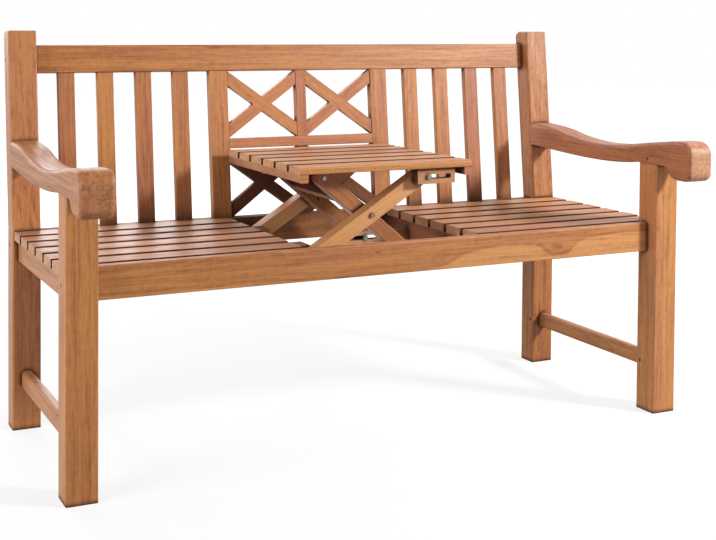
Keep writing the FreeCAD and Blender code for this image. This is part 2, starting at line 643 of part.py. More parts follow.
def seat_screws():
    """Screws from below, through the bearers into every seat slat."""
    tip = SEAT_HEIGHT - SCREW_TIP_WOOD
    head = tip - SCREW_LENGTH
    screws = []
    carriers = {
        "side_seat_rail_": SIDE_RAIL_OUTER_X - SIDE_RAIL_THICKNESS / 2,
        "seat_bearer_": OPENING_X + BEARER_THICKNESS / 2,
    }
    for index in range(SEAT_SLAT_COUNT):
        y = SLAT_FIRST_Y + index * (SLAT_WIDTH + SEAT_SLAT_GAP) + SLAT_WIDTH / 2
        for carrier, place in carriers.items():
            for side, x in (("left", -place), ("right", place)):
                shaft = rod(x, y, head, SCREW_DIAMETER / 2, SCREW_LENGTH, Z_AXIS)
                cap = rod(
                    x, y, head - SCREW_HEAD_HEIGHT, SCREW_HEAD_DIAMETER / 2, SCREW_HEAD_HEIGHT, Z_AXIS
                )
                screws.append(shaft.fuse(cap).removeSplitter())
                bore = rod(x, y, head, SCREW_DIAMETER / 2 + SCREW_FIT, SCREW_LENGTH + SCREW_FIT, Z_AXIS)
                access = rod(
                    x, y, SEAT_RAIL_BOTTOM, COUNTERBORE_DIAMETER / 2, head - SEAT_RAIL_BOTTOM, Z_AXIS
                )
                carve(carrier + side, bore.fuse(access))
                carve("seat_slat_%s_%d" % (side, index + 1), bore)
    add("seat_screws", Part.makeCompound(screws))


def pegs():
    """Wooden pegs that lock the tenons. Their ends show on the legs and arms."""
    front_y = (FRONT_RAIL_Y + FRONT_RAIL_BACK_Y) / 2
    rear_y = (REAR_RAIL_Y + REAR_RAIL_BACK_Y) / 2
    front_z = (SEAT_RAIL_BOTTOM + SEAT_HEIGHT) / 2
    rear_z = (SEAT_RAIL_BOTTOM + REAR_RAIL_TOP) / 2
    top_lift = rake_height(TOP_RAIL_TOP - TOP_RAIL_DEPTH / 2) - RAKE_START_HEIGHT
    top_in = TOP_RAIL_RECESS + TOP_RAIL_THICKNESS / 2
    top_y = REAR_LEG_Y + top_lift * math.sin(RAKE_ANGLE) + top_in * math.cos(RAKE_ANGLE)
    top_z = RAKE_START_HEIGHT + top_lift * math.cos(RAKE_ANGLE) - top_in * math.sin(RAKE_ANGLE)
    stretcher_z = STRETCHER_TOP_HEIGHT - STRETCHER_DEPTH / 2
    arm_inner_x = HALF_WIDTH + ARM_OUTER_PROUD - ARM_WIDTH
    arm_z = ARM_SEAT_HEIGHT + LEG_TENON_HEIGHT / 2
    inward = [
        (HALF_WIDTH, front_y, front_z, ("front_leg_", "side_seat_rail_", "front_seat_rail")),
        (HALF_WIDTH, rear_y, rear_z, ("rear_leg_", "side_seat_rail_", "rear_seat_rail")),
        (HALF_WIDTH, top_y, top_z, ("rear_leg_", "top_rail")),
    ]
    outward = [
        (LEG_INNER_X, FRONT_LEG_BACK_Y - CROSS_PEG_SETBACK, stretcher_z, ("front_leg_", "side_stretcher_")),
        (LEG_INNER_X, REAR_LEG_Y + CROSS_PEG_SETBACK, stretcher_z, ("rear_leg_", "side_stretcher_")),
        (arm_inner_x, FRONT_Y + FRONT_LEG_DEPTH / 2, arm_z, ("armrest_", "front_leg_")),
    ]
    wood = []
    for face_x, y, z, hosts, length, step in (
        [row + (PEG_LENGTH, -1) for row in inward] + [row + (CROSS_PEG_LENGTH, 1) for row in outward]
    ):
        start = face_x + step * PEG_RECESS
        end = start + step * length
        peg = rod(min(start, end), y, z, PEG_DIAMETER / 2, length, X_AXIS)
        bore_start, bore_end = face_x - step, end + step * PEG_FIT
        bore = rod(
            min(bore_start, bore_end), y, z, PEG_DIAMETER / 2 + PEG_FIT,
            abs(bore_end - bore_start), X_AXIS,
        )
        for side, mirror in (("right", False), ("left", True)):
            wood.append(mirrored_x(peg) if mirror else peg)
            for host in hosts:
                name = host + side if host.endswith("_") else host
                carve(name, mirrored_x(bore) if mirror else bore)
    add("wood_pegs", Part.makeCompound(wood))


def leg_bar(length, bores):
    """A leg of the scissor frame along X, with round ends on its end pivots."""
    radius = LEG_BAR / 2
    bar = box(0, length, 0, LEG_BAR, -radius, radius)
    for x in (0, length):
        bar = bar.fuse(rod(x, 0, 0, radius, LEG_BAR, Y_AXIS))
    bar = bar.removeSplitter()
    outline = [edge for edge in bar.Edges if edge.BoundBox.YLength < PICK_MARGIN]
    bar = bar.makeFillet(LEG_BAR_EDGE_RADIUS, outline)
    for x in bores:
        bar = bar.cut(rod(
            x, -CUT_MARGIN, 0, PIN_DIAMETER / 2 + PIN_FIT, LEG_BAR + 2 * CUT_MARGIN, Y_AXIS
        ))
    return bar


def slot(x0, x1, y0, z, thickness):
    """The space of a slot whose pin axis travels from x0 to x1."""
    radius = PIN_DIAMETER / 2 + SLOT_PLAY
    middle = box(x0, x1, y0, y0 + thickness, z - radius, z + radius)
    ends = [rod(x, y0, z, radius, thickness, Y_AXIS) for x in (x0, x1)]
    return middle.fuse(ends)


def headed_pin(x, z, bearing_y, tip_y, discs):
    """A pin along Y with a stack of (diameter, thickness) discs outside the bearing face."""
    step = 1 if tip_y > bearing_y else -1
    near = bearing_y - step * HEAD_FLOAT
    shaft = rod(x, min(near, tip_y), z, PIN_DIAMETER / 2, abs(tip_y - near), Y_AXIS)
    stack = []
    for diameter, thickness in discs:
        far = near - step * thickness
        stack.append(rod(x, min(near, far), z, diameter / 2, thickness, Y_AXIS))
        near = far
    return shaft.fuse(stack).removeSplitter()


def add_pair(name, front):
    """The front piece and its mirror image in the rear scissor frame, as one group."""
    add(name, Part.makeCompound([front, mirrored_in_table(front)]))


def scissor_legs():
    outer = leg_bar(OUTER_LENGTH, (0, CROSSING_SHARE * OUTER_LENGTH, OUTER_LENGTH))
    outer.translate(Vec(0, OUTER_LEG_Y, 0))
    outer.rotate(Vec(0, 0, 0), Y_AXIS, -math.degrees(OUTER_ANGLE))
    outer.translate(Vec(FRAME_HINGE_X, 0, PIVOT_LINE_HEIGHT))
    add("outer_leg_front", outer)
    add("outer_leg_rear", mirrored_in_table(outer))

    inner = leg_bar(INNER_LENGTH, (0, (1 - CROSSING_SHARE) * INNER_LENGTH, INNER_LENGTH))
    inner.translate(Vec(0, INNER_LEG_Y, 0))
    rail_y0, rail_y1 = INNER_LEG_Y + LEG_BAR, INNER_LEG_Y + INNER_LEG_SPACING
    rail = box(
        LEG_CROSS_RAIL_OFFSET - LEG_CROSS_RAIL_THICKNESS / 2,
        LEG_CROSS_RAIL_OFFSET + LEG_CROSS_RAIL_THICKNESS / 2,
        rail_y0, rail_y1, -LEG_BAR / 2, LEG_BAR / 2,
    )
    rail = soften(rail, LEG_BAR_EDGE_RADIUS, Y_AXIS)
    limits = [
        LEG_CROSS_RAIL_OFFSET - STUB_TENON_THICKNESS / 2,
        LEG_CROSS_RAIL_OFFSET + STUB_TENON_THICKNESS / 2,
        rail_y0 - STUB_TENON_LENGTH, rail_y1 + STUB_TENON_LENGTH,
        TENON_SHOULDER - LEG_BAR / 2, LEG_BAR / 2 - TENON_SHOULDER,
    ]
    rail = rail.fuse(box(*limits)).removeSplitter()
    inner = inner.cut(box(*grown(limits, FIT_CLEARANCE)))
    for shape in (inner, rail):
        shape.rotate(Vec(0, 0, 0), Y_AXIS, math.degrees(INNER_ANGLE))
        shape.translate(Vec(TABLE_HINGE_X, 0, TABLE_PIVOT_HEIGHT))
    add("inner_leg_front", inner)
    add("inner_leg_rear", mirrored_in_table(inner))
    add("inner_leg_cross_rail", rail)


def frame_blocks():
    block_bottom = PIVOT_LINE_HEIGHT - FRAME_BLOCK_DEPTH / 2
    cleat_x = TABLE_LOWERED_CENTRE_X - TABLE_WIDTH / 2 + CLEAT_WIDTH + FRAME_HINGE_BLOCK_STEP_GAP
    cleat_bottom = LOWERED_UNDERSIDE - CLEAT_DEPTH
    block = box(
        -OPENING_X, FRAME_HINGE_X + FRAME_HINGE_BLOCK_REACH,
        FRAME_HINGE_BLOCK_Y, FRAME_HINGE_BLOCK_Y + FRAME_HINGE_BLOCK_THICKNESS,
        SEAT_RAIL_BOTTOM, LOWERED_UNDERSIDE - LOWERED_CLEARANCE,
    )
    block = block.cut(box(
        -OPENING_X, cleat_x,
        FRAME_HINGE_BLOCK_Y, FRAME_HINGE_BLOCK_Y + FRAME_HINGE_BLOCK_THICKNESS,
        cleat_bottom - FRAME_HINGE_BLOCK_STEP_GAP, LOWERED_UNDERSIDE,
    ))
    block = soften(block, BLOCK_EDGE_RADIUS, Y_AXIS, lambda p: p.x > cleat_x + PICK_MARGIN)
    tip_y = FRAME_HINGE_BLOCK_Y + FRAME_HINGE_BLOCK_THICKNESS - BOLT_END_WOOD
    bore = rod(
        FRAME_HINGE_X, FRAME_HINGE_BLOCK_Y, PIVOT_LINE_HEIGHT,
        PIN_DIAMETER / 2 + PIN_FIT, tip_y + PIN_FIT - FRAME_HINGE_BLOCK_Y, Y_AXIS,
    )
    add_pair("frame_hinge_blocks", block.cut(bore))
    add_pair("frame_hinge_bolts", headed_pin(
        FRAME_HINGE_X, PIVOT_LINE_HEIGHT, OUTER_LEG_Y, tip_y, [(BOLT_HEAD_DIAMETER, BOLT_HEAD_HEIGHT)]
    ))

    slot_x0 = FRAME_SLIDE_X - FRAME_SLOT_LEAD
    slot_x1 = FRAME_SLIDE_X + FRAME_SLIDE_TRAVEL + SLOT_END_PLAY
    end_wood = PIN_DIAMETER / 2 + BLOCK_END_WOOD
    guide = box(
        slot_x0 - end_wood, OPENING_X, INNER_BLOCK_Y, INNER_BLOCK_Y + BLOCK_THICKNESS,
        block_bottom, block_bottom + FRAME_BLOCK_DEPTH,
    )
    guide = soften(guide, BLOCK_EDGE_RADIUS, Y_AXIS, lambda p: p.x < slot_x0)
    add_pair("frame_slide_blocks", guide.cut(
        slot(slot_x0, slot_x1, INNER_BLOCK_Y, PIVOT_LINE_HEIGHT, BLOCK_THICKNESS)
    ))


def table_top():
    half = TABLE_WIDTH / 2
    for index in range(TABLE_SLAT_COUNT):
        y = TABLE_FRONT_Y + index * (SLAT_WIDTH + TABLE_SLAT_GAP)
        add("table_slat_%d" % (index + 1), slat(
            TABLE_CENTRE_X - half, TABLE_CENTRE_X + half, y, TABLE_UNDERSIDE, TABLE_SLAT_THICKNESS
        ))
    cleats = []
    for edge in (TABLE_CENTRE_X - half, TABLE_CENTRE_X + half - CLEAT_WIDTH):
        cleat = box(
            edge, edge + CLEAT_WIDTH, TABLE_FRONT_Y, TABLE_BACK_Y,
            TABLE_UNDERSIDE - CLEAT_DEPTH, TABLE_UNDERSIDE,
        )
        cleats.append(soften(
            cleat, BLOCK_EDGE_RADIUS, Y_AXIS, lambda p: p.z < TABLE_UNDERSIDE - PICK_MARGIN
        ))
    add("table_cleats", Part.makeCompound(cleats))

    bottom = TABLE_UNDERSIDE - TABLE_BLOCK_DEPTH
    slot_x0 = TABLE_SLIDE_X - SLOT_END_PLAY
    slot_x1 = TABLE_SLIDE_X + TABLE_SLIDE_TRAVEL + SLOT_END_PLAY
    guide = box(
        slot_x0 - PIN_DIAMETER / 2 - TABLE_SLOT_LEAD, slot_x1 + PIN_DIAMETER / 2 + BLOCK_END_WOOD,
        TABLE_SLIDE_BLOCK_Y, TABLE_SLIDE_BLOCK_Y + BLOCK_THICKNESS, bottom, TABLE_UNDERSIDE,
    )
    guide = soften(guide, BLOCK_EDGE_RADIUS, Y_AXIS, lambda p: p.z < bottom + PICK_MARGIN)
    add_pair("table_slide_blocks", guide.cut(
        slot(slot_x0, slot_x1, TABLE_SLIDE_BLOCK_Y, TABLE_PIVOT_HEIGHT, BLOCK_THICKNESS)
    ))
    hinge = box(
        TABLE_HINGE_X - HINGE_BLOCK_WIDTH / 2, TABLE_HINGE_X + HINGE_BLOCK_WIDTH / 2,
        INNER_BLOCK_Y, INNER_BLOCK_Y + BLOCK_THICKNESS, bottom, TABLE_UNDERSIDE,
    )
    hinge = soften(hinge, BLOCK_EDGE_RADIUS, Y_AXIS, lambda p: p.z < bottom + PICK_MARGIN)
    add_pair("table_hinge_blocks", hinge.cut(rod(
        TABLE_HINGE_X, INNER_BLOCK_Y, TABLE_PIVOT_HEIGHT,
        PIN_DIAMETER / 2 + PIN_FIT, BLOCK_THICKNESS, Y_AXIS,
    )))


def pins():
    block_back_y = INNER_BLOCK_Y + BLOCK_THICKNESS
    inner_front = INNER_LEG_Y + BOLT_END_WOOD
    outer_back = OUTER_LEG_Y + LEG_BAR
    washer_and_head = [(WASHER_DIAMETER, WASHER_THICKNESS), (PIN_HEAD_DIAMETER, PIN_HEAD_HEIGHT)]
    add_pair("table_slide_pins", headed_pin(
        TABLE_SLIDE_X, TABLE_PIVOT_HEIGHT, TABLE_SLIDE_BLOCK_Y, outer_back - BOLT_END_WOOD,
        washer_and_head,
    ))
    crossing = headed_pin(
        CROSSING_X, CROSSING_Z, OUTER_LEG_Y, INNER_LEG_Y + LEG_BAR - BOLT_END_WOOD,
        [(BOLT_HEAD_DIAMETER, BOLT_HEAD_HEIGHT)],
    )
    spacer = rod(
        CROSSING_X, outer_back + HEAD_FLOAT, CROSSING_Z, SPACER_DIAMETER / 2,
        INNER_LEG_Y - outer_back - 2 * HEAD_FLOAT, Y_AXIS,
    )
    add_pair("crossing_bolts", crossing.fuse(spacer).removeSplitter())
    slide = headed_pin(
        FRAME_SLIDE_X, PIVOT_LINE_HEIGHT, block_back_y, inner_front, washer_and_head
    )
    hinge = headed_pin(
        TABLE_HINGE_X, TABLE_PIVOT_HEIGHT, INNER_LEG_Y, block_back_y,
        [(LOW_HEAD_DIAMETER, LOW_HEAD_HEIGHT)],
    )
    add("inner_leg_pins", Part.makeCompound([
        slide, mirrored_in_table(slide), hinge, mirrored_in_table(hinge)
    ]))


os.makedirs("parts", exist_ok=True)
legs()
seat_frame()
armrests()
back()
seat_slats()
seat_screws()
pegs()
scissor_legs()
frame_blocks()
table_top()
pins()

for node, solid in pieces.items():
    solid.exportStep("parts/" + node + ".step")
print(len(pieces), "nodes")
print("outer leg %.4f deg to %.4f deg" % (
    math.degrees(OUTER_ANGLE), math.degrees(math.asin(LOWERED_RISE / OUTER_LENGTH))
))
print("inner leg %.4f deg to %.4f deg" % (
    math.degrees(INNER_ANGLE), math.degrees(math.asin(LOWERED_RISE / INNER_LENGTH))
))
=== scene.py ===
import math
import random

import bpy
from mathutils import Matrix, Vector


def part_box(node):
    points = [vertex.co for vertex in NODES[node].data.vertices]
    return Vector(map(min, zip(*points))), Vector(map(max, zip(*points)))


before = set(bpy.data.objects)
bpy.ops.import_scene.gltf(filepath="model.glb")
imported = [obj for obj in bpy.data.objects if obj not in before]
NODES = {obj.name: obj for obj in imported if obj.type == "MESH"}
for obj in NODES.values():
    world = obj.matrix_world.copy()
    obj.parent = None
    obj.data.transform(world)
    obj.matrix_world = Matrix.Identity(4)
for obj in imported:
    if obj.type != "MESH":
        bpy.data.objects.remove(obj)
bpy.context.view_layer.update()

# Camera, solved from the corners of the bench. Pixels of the 716 x 540 frame, degrees and metres.
IMAGE_WIDTH = 716
IMAGE_HEIGHT = 540
FOCAL_PIXELS = 1189.92
CENTRE_PIXEL = (249.23, 60.39)
CAMERA_PLACE = Vector((-1.32673, -2.42843, 0.92788))
CAMERA_YAW = math.radians(23.446)
CAMERA_PITCH = math.radians(1.760)
CAMERA_ROLL = math.radians(0.284)
SENSOR_WIDTH = 36
CLIP_END = 50

# Wood, as sRGB hex colours.
GOLDEN = "C58449"
ROSY = "B6744F"
DEEP = "743412"
PALE = "E8AF74"
VESSEL = "6E3D1E"
END_GRAIN = "D8AC84"
# The colour of painted shade, and of the pegs' pores.
PAINTED_SHADE_AND_PORES = "3C1B0C"
PEG_WOOD = "5E341C"

# Steel, as sRGB hex colours.
BOLT_STEEL = "84715C"
PIN_STEEL = "9A948C"
SCREW_STEEL = "A8A8A5"
STEEL_MARKS = "6F6A64"

# Sizes of the bench, in metres. The rake is how far the back leans for each metre up.
CROSS_BAR_WIDTH = 0.029
LEG_BAR_WIDTH = 0.03
BACK_SLAT_PITCH = 0.095
BACK_SLAT_START = 0.2775
BACK_RAKE = 0.1

# The noises. The stretch is in waves to a metre. In the grain it is along the fibres, then across them.
NOISE_MEAN = 0.5
RING_BENDS = dict(stretch=(2.6, 9, 9))
RING_WANDER = dict(stretch=(0.6, 30, 30), detail=1.0)
RING_STRENGTH = dict(stretch=(1.5, 14, 14), detail=1.0)
STREAKS = dict(stretch=(3.5, 110, 110), detail=3.0, rough=0.55)
FLECKS = dict(stretch=(9, 320, 320), rough=0.6)
VESSELS = dict(stretch=(16, 900, 900), rough=0.6)
CLOUDS = dict(stretch=(2.2, 13, 13), warp=0.4)
MOTTLE = dict(stretch=(70, 95, 95), detail=3.0, rough=0.6, warp=0.6)
BAND_WAVES = dict(stretch=(9, 8, 40))
PEG_PORES = dict(stretch=(700, 700, 700))
METAL_MARKS = dict(stretch=(900, 900, 900))

# Ramps of the grain: the low and the high input, then the results there, or else 0 and 1.
RING_RISE = (0.15, 0.9)
RING_FALL = (0.9, 1.0, 1.0, 0.0)
RING_DARKNESS = (0.42, 0.70, 0.03, 0.24)
VESSEL_LINES = (0.58, 0.72)
END_PATCHES = (0.3, 0.7, 0.35, 0.95)
CLOUD_HUE = (0.3, 0.7, -0.35, 0.35)
PALE_TONE = (-0.30, 0.0, 0.8, 0.0)
STREAK_DARKNESS = (0.28, 0.78, -0.10, 0.34)
FLECK_DARKNESS = (0.42, 0.72, -0.07, 0.20)
MOTTLE_DARKNESS = (0.35, 0.7, -0.07, 0.12)
KNOT_DARKNESS = (0.55, 1.0, 0.0, 0.45)
GRAIN_ROUGHNESS = (0.2, 0.8, 0.38, 0.50)
END_FACING = (0.75, 0.95)

# Yearly rings: how many to a metre, how far bends and knots push them in metres, and how many they wander.
RINGS_PER_METRE = 95
BEND_PUSH = 0.11
KNOT_PUSH = 0.055
WANDER_RINGS = 4.0

# The surface of teak: strengths from 0 to 1, and the height of its bumps in metres.
VESSEL_STRENGTH = 0.45
PALE_END = 0.4
SLAT_PALE_END = 1.0
END_ROUGHER = 0.12
STREAK_RELIEF = 0.5
VESSEL_RELIEF = 0.6
RING_RELIEF = 0.4
BUMP_STRENGTH = 0.25
BUMP_HEIGHT = 0.0006
OILED_IOR = 1.42
SHEEN = 0.05
SHEEN_ROUGHNESS = 0.4

# Painted shade where close pieces would shade the wood: from how far in metres, at which openness fully and
# at which no more.
PAINTED_SHADE_SAMPLES = 8
PAINTED_SHADE_ROUGHER = 0.6
# Joints get narrow painted contact shade, the back slats and stiles a wider painted shade near the seat and
# the top rail, and the table's well deep painted shade.
JOINT_PAINTED_SHADE = dict(reach=0.016, full=0.50, none=0.92, strength=0.95)
BACK_PAINTED_SHADE = dict(reach=0.080, full=0.45, none=0.97, strength=0.75)
WELL_PAINTED_SHADE = dict(reach=0.200, full=0.45, none=1.00, strength=0.92)
# The pieces in and near the table's well, which get deep painted shade where the table shades them.
WELL_PIECES = (
    "back_cross_lower_left", "back_cross_lower_right", "back_muntin_lower", "frame_hinge_blocks",
    "frame_slide_blocks", "inner_leg_cross_rail", "inner_leg_rear", "rear_seat_rail", "seat_bearer_left",
    "seat_bearer_right", "table_cleats", "table_hinge_blocks", "table_slide_blocks",
)

# Painted shade in the gaps between slats, on their long edges: how deep below the top in metres, and how
# much they face sideways.
GAP_SHADE_DEPTH = (0.00002, 0.0004)
GAP_SHADE_FACING = (0.15, 0.40)
GAP_SHADE_STRENGTH = 0.95
# The table's outermost slats get the painted gap shade only on the side towards the others.
GAP_SHADE_SIDE = {"table_slat_1": 1.0, "table_slat_6": -1.0}

# Where a board's middle lies in its log, drawn for each board: along it, and from the pith in the two
# directions across it, in metres.
BOARD_SEED = 7
LOG_ALONG = (0, 30)
PITH_ASIDE = (0.02, 0.08)
PITH_AWAY = (0.03, 0.11)

# How boards differ in tone and hue. Boards side by side in one node differ by the cell they lie in.
TONE_SPREAD = (-0.06, 0.08)
HUE_SPREAD = (-0.4, 0.4)
CROSS_TONES = (-0.04, 0.08)
CROSS_HUES = (0.2, 0.9)
CELL_DRAWS = (0, 50)
CELL_TONES = (-0.08, 0.10)
CELL_HUES = (0.2, 0.7)
CELL_HUE_TURNS = 7.31

# A knot's length for its height, and how far a halved bar reaches past its half width in metres.
KNOT_LENGTH = 2.2
CROSS_BAR_MARGIN = 0.0004

# The golden band: its border's waves, soft edge and dark line in metres, and what the band does to the wood.
BAND_WAVE_HEIGHT = 0.012
BAND_EDGE = (-0.004, 0.006)
BAND_LINE_START = (-0.001, 0.003)
BAND_LINE_END = (0.003, 0.010, 1.0, 0.0)
BAND_LINE_TONE = 0.20
BAND_HUE = 0.80
BAND_TONE = 0.17

# Pegs and steel: the ramps of their pores and marks, and how rough they are.
PORE_COLOUR = (0.35, 0.65)
PEG_ROUGHNESS = (0.2, 0.8, 0.5, 0.7)
PEG_IOR = 1.5
MARK_COLOUR = (0.3, 0.7)
MARK_SPAN = (0.2, 0.8)
MARK_ROUGHER = 0.15
PIN_ROUGHNESS = 0.30
SCREW_ROUGHNESS = 0.35

# Floor: its half width in metres, its glow as a ramp of the distance from the middle, and its greys.
FLOOR_HALF = 12
FLOOR_GLOW = (1.2, 3.5, 0.75, 1.0)
SHADOW_FILM = 0.24
FLOOR_GREY = 0.25

# The strength of the world as a light and as it is seen, and the lamps, in metres and watts.
WORLD_LIGHT = 0.24
WORLD_SEEN = 1.0
LAMPS = (
    dict(name="key", place=(2.6, -2.2, 2.0), aim=(0.2, 0, 0.4), size=0.5, watts=138),
    dict(name="left", place=(-4.6, -1.3, 1.9), aim=(0, 0, 0.5), size=2.2, watts=138),
    dict(name="back", place=(-0.4, 3.4, 2.2), aim=(0, 0, 0.5), size=3.2, watts=105),
    dict(name="right", place=(3.2, 0.4, 1.6), aim=(0, 0, 0.5), size=1.6, watts=45),
)

X_GRAIN = Vector((1, 0, 0))
Y_GRAIN = Vector((0, 1, 0))
Z_GRAIN = Vector((0, 0, 1))
RAKED_GRAIN = Vector((0, BACK_RAKE, 1)).normalized()

# The boards that aren't plain. A knot is (x, z, radius), and sapwood is the golden band's upper border.
BOARDS = {
    "front_seat_rail": dict(
        tone=0.01,
        knots=((0.420, 0.418, 0.022), (-0.055, 0.437, 0.010)),
        sapwood=(
            (-0.69, 0.396), (-0.40, 0.394), (0.05, 0.388), (0.17, 0.417), (0.26, 0.426), (0.34, 0.425),
            (0.385, 0.406), (0.42, 0.394), (0.456, 0.401), (0.49, 0.426), (0.56, 0.432), (0.69, 0.432),
        ),
    ),
    "top_rail": dict(tone=0.20, hue=0.0),
    "back_slats_left": dict(tone=0.05, cell=(-BACK_SLAT_START, BACK_SLAT_PITCH)),
    "back_slats_right": dict(tone=0.20, cell=(BACK_SLAT_START, BACK_SLAT_PITCH)),
    "back_stile_left": dict(hue=0.1),
    "back_stile_right": dict(tone=0.10),
    "front_leg_left": dict(tone=0.05, hue=0.15),
    "front_leg_right": dict(tone=0.0, hue=0.4),
    "rear_leg_right": dict(tone=0.36, hue=0.0),
    "armrest_left": dict(tone=0.28, pale_end=0.3),
    "armrest_right": dict(tone=0.10, hue=0.9, pale_end=0.9),
    "outer_leg_front": dict(tone=-0.24, hue=0.2),
    "outer_leg_rear": dict(tone=-0.15, hue=0.0),
    # The inner legs' darker tones are painted shade beneath the table.
    "inner_leg_front": dict(tone=0.10),
    "inner_leg_rear": dict(tone=0.20),
}
TABLE_SLAT = dict(tone=-0.07, hue=0.6)


def linear(code):
    """The linear colour of an sRGB hex code."""
    parts = [int(code[i:i + 2], 16) / 255 for i in (0, 2, 4)]
    return [p / 12.92 if p <= 0.04045 else ((p + 0.055) / 1.055) ** 2.4 for p in parts] + [1]


def grey(value):
    return (value, value, value, 1)


class Net:
    """Adds linked nodes to a node tree."""

    def __init__(self, tree):
        self.tree = tree
        tree.nodes.clear()

    def add(self, kind, inputs=None, **settings):
        node = self.tree.nodes.new(kind)
        for name, value in settings.items():
            setattr(node, name, value)
        for key, value in (inputs or {}).items():
            socket = node.inputs[key]
            if isinstance(value, bpy.types.NodeSocket):
                self.tree.links.new(value, socket)
            else:
                socket.default_value = value
        return node

    def math(self, operation, first, second=0.0, clamp=False):
        settings = dict(operation=operation, use_clamp=clamp)
        return self.add("ShaderNodeMath", {0: first, 1: second}, **settings).outputs[0]

    def plus(self, first, second, clamp=False):
        return self.math("ADD", first, second, clamp)

    def minus(self, first, second):
        return self.math("SUBTRACT", first, second)

    def times(self, first, second):
        return self.math("MULTIPLY", first, second)

    def unsigned(self, value):
        return self.math("ABSOLUTE", value)

    def vector(self, operation, first, second):
        node = self.add("ShaderNodeVectorMath", {0: first, 1: second}, operation=operation)
        return node.outputs["Value" if operation in ("DOT_PRODUCT", "DISTANCE") else "Vector"]

    def axes(self, vector):
        return self.add("ShaderNodeSeparateXYZ", {0: vector}).outputs

    def ramp(self, value, low, high, start=0.0, end=1.0, smooth=True):
        return self.add("ShaderNodeMapRange", {
            "Value": value, "From Min": low, "From Max": high, "To Min": start, "To Max": end,
        }, interpolation_type="SMOOTHSTEP" if smooth else "LINEAR").outputs["Result"]

    def noise(self, vector, stretch, detail=2.0, rough=0.5, warp=0.0):
        return self.add("ShaderNodeTexNoise", {
            "Vector": self.vector("MULTIPLY", vector, stretch), "Scale": 1.0, "Detail": detail,
            "Roughness": rough, "Distortion": warp,
        }).outputs["Fac"]

    def mix(self, factor, first, second):
        return self.add("ShaderNodeMix", {0: factor, 6: first, 7: second}, data_type="RGBA").outputs[2]

    def coordinates(self):
        return self.add("ShaderNodeTexCoord").outputs

    def end(self, shader):
        self.add("ShaderNodeOutputMaterial", {"Surface": shader.outputs[0]})


def material_net(name):
    material = bpy.data.materials.new(name)
    material.use_nodes = True
    return material, Net(material.node_tree)


def yearly_rings(net, place, knot):
    """Dark late wood of the rings: the distance from the pith, bent along the board and round its knots."""
    axes = net.axes(place)
    flat = net.add("ShaderNodeCombineXYZ", {1: axes[1], 2: axes[2]}).outputs[0]
    bend = net.minus(net.noise(place, **RING_BENDS), NOISE_MEAN)
    bent = net.plus(net.vector("DISTANCE", flat, (0, 0, 0)), net.times(bend, BEND_PUSH))
    bent = net.plus(bent, net.times(knot, KNOT_PUSH))
    wander = net.times(net.noise(place, **RING_WANDER), WANDER_RINGS)
    part = net.math("FRACT", net.plus(net.times(bent, RINGS_PER_METRE), wander))
    rings = net.times(net.ramp(part, *RING_RISE), net.ramp(part, *RING_FALL))
    return net.times(rings, net.ramp(net.noise(place, **RING_STRENGTH), *RING_DARKNESS))


def grain_group():
    """Teak seen in grain space: x runs along the fibres, and the pith of the log is the x axis."""
    tree = bpy.data.node_groups.new("teak_grain", "ShaderNodeTree")
    net = Net(tree)
    tree.interface.new_socket("Vector", in_out="INPUT", socket_type="NodeSocketVector")
    for name in ("Tone", "Hue", "Knot", "End"):
        tree.interface.new_socket(name, in_out="INPUT", socket_type="NodeSocketFloat")
    tree.interface.new_socket("Color", in_out="OUTPUT", socket_type="NodeSocketColor")
    for name in ("Roughness", "Height"):
        tree.interface.new_socket(name, in_out="OUTPUT", socket_type="NodeSocketFloat")
    given = net.add("NodeGroupInput").outputs
    place = given["Vector"]
    rings = yearly_rings(net, place, given["Knot"])
    streaks = net.noise(place, **STREAKS)
    mottle = net.noise(place, **MOTTLE)
    vessels = net.ramp(net.noise(place, **VESSELS), *VESSEL_LINES)

    hue = net.plus(given["Hue"], net.ramp(net.noise(place, **CLOUDS), *CLOUD_HUE), clamp=True)
    wood = net.mix(hue, linear(GOLDEN), linear(ROSY))
    wood = net.mix(net.ramp(given["Tone"], *PALE_TONE, smooth=False), wood, linear(PALE))
    wood = net.mix(net.times(given["End"], net.ramp(mottle, *END_PATCHES)), wood, linear(END_GRAIN))
    dark = net.plus(given["Tone"], net.ramp(streaks, *STREAK_DARKNESS))
    dark = net.plus(dark, net.ramp(net.noise(place, **FLECKS), *FLECK_DARKNESS))
    dark = net.plus(dark, net.ramp(mottle, *MOTTLE_DARKNESS))
    dark = net.plus(dark, rings)
    dark = net.plus(dark, net.ramp(given["Knot"], *KNOT_DARKNESS), clamp=True)
    wood = net.mix(dark, wood, linear(DEEP))
    wood = net.mix(net.times(vessels, VESSEL_STRENGTH), wood, linear(VESSEL))

    rough = net.plus(net.ramp(streaks, *GRAIN_ROUGHNESS), net.times(given["End"], END_ROUGHER))
    height = net.minus(net.times(streaks, STREAK_RELIEF), net.times(vessels, VESSEL_RELIEF))
    height = net.minus(height, net.times(rings, RING_RELIEF))
    net.add("NodeGroupOutput", {"Color": wood, "Roughness": rough, "Height": height})
    return tree


GRAIN = grain_group()


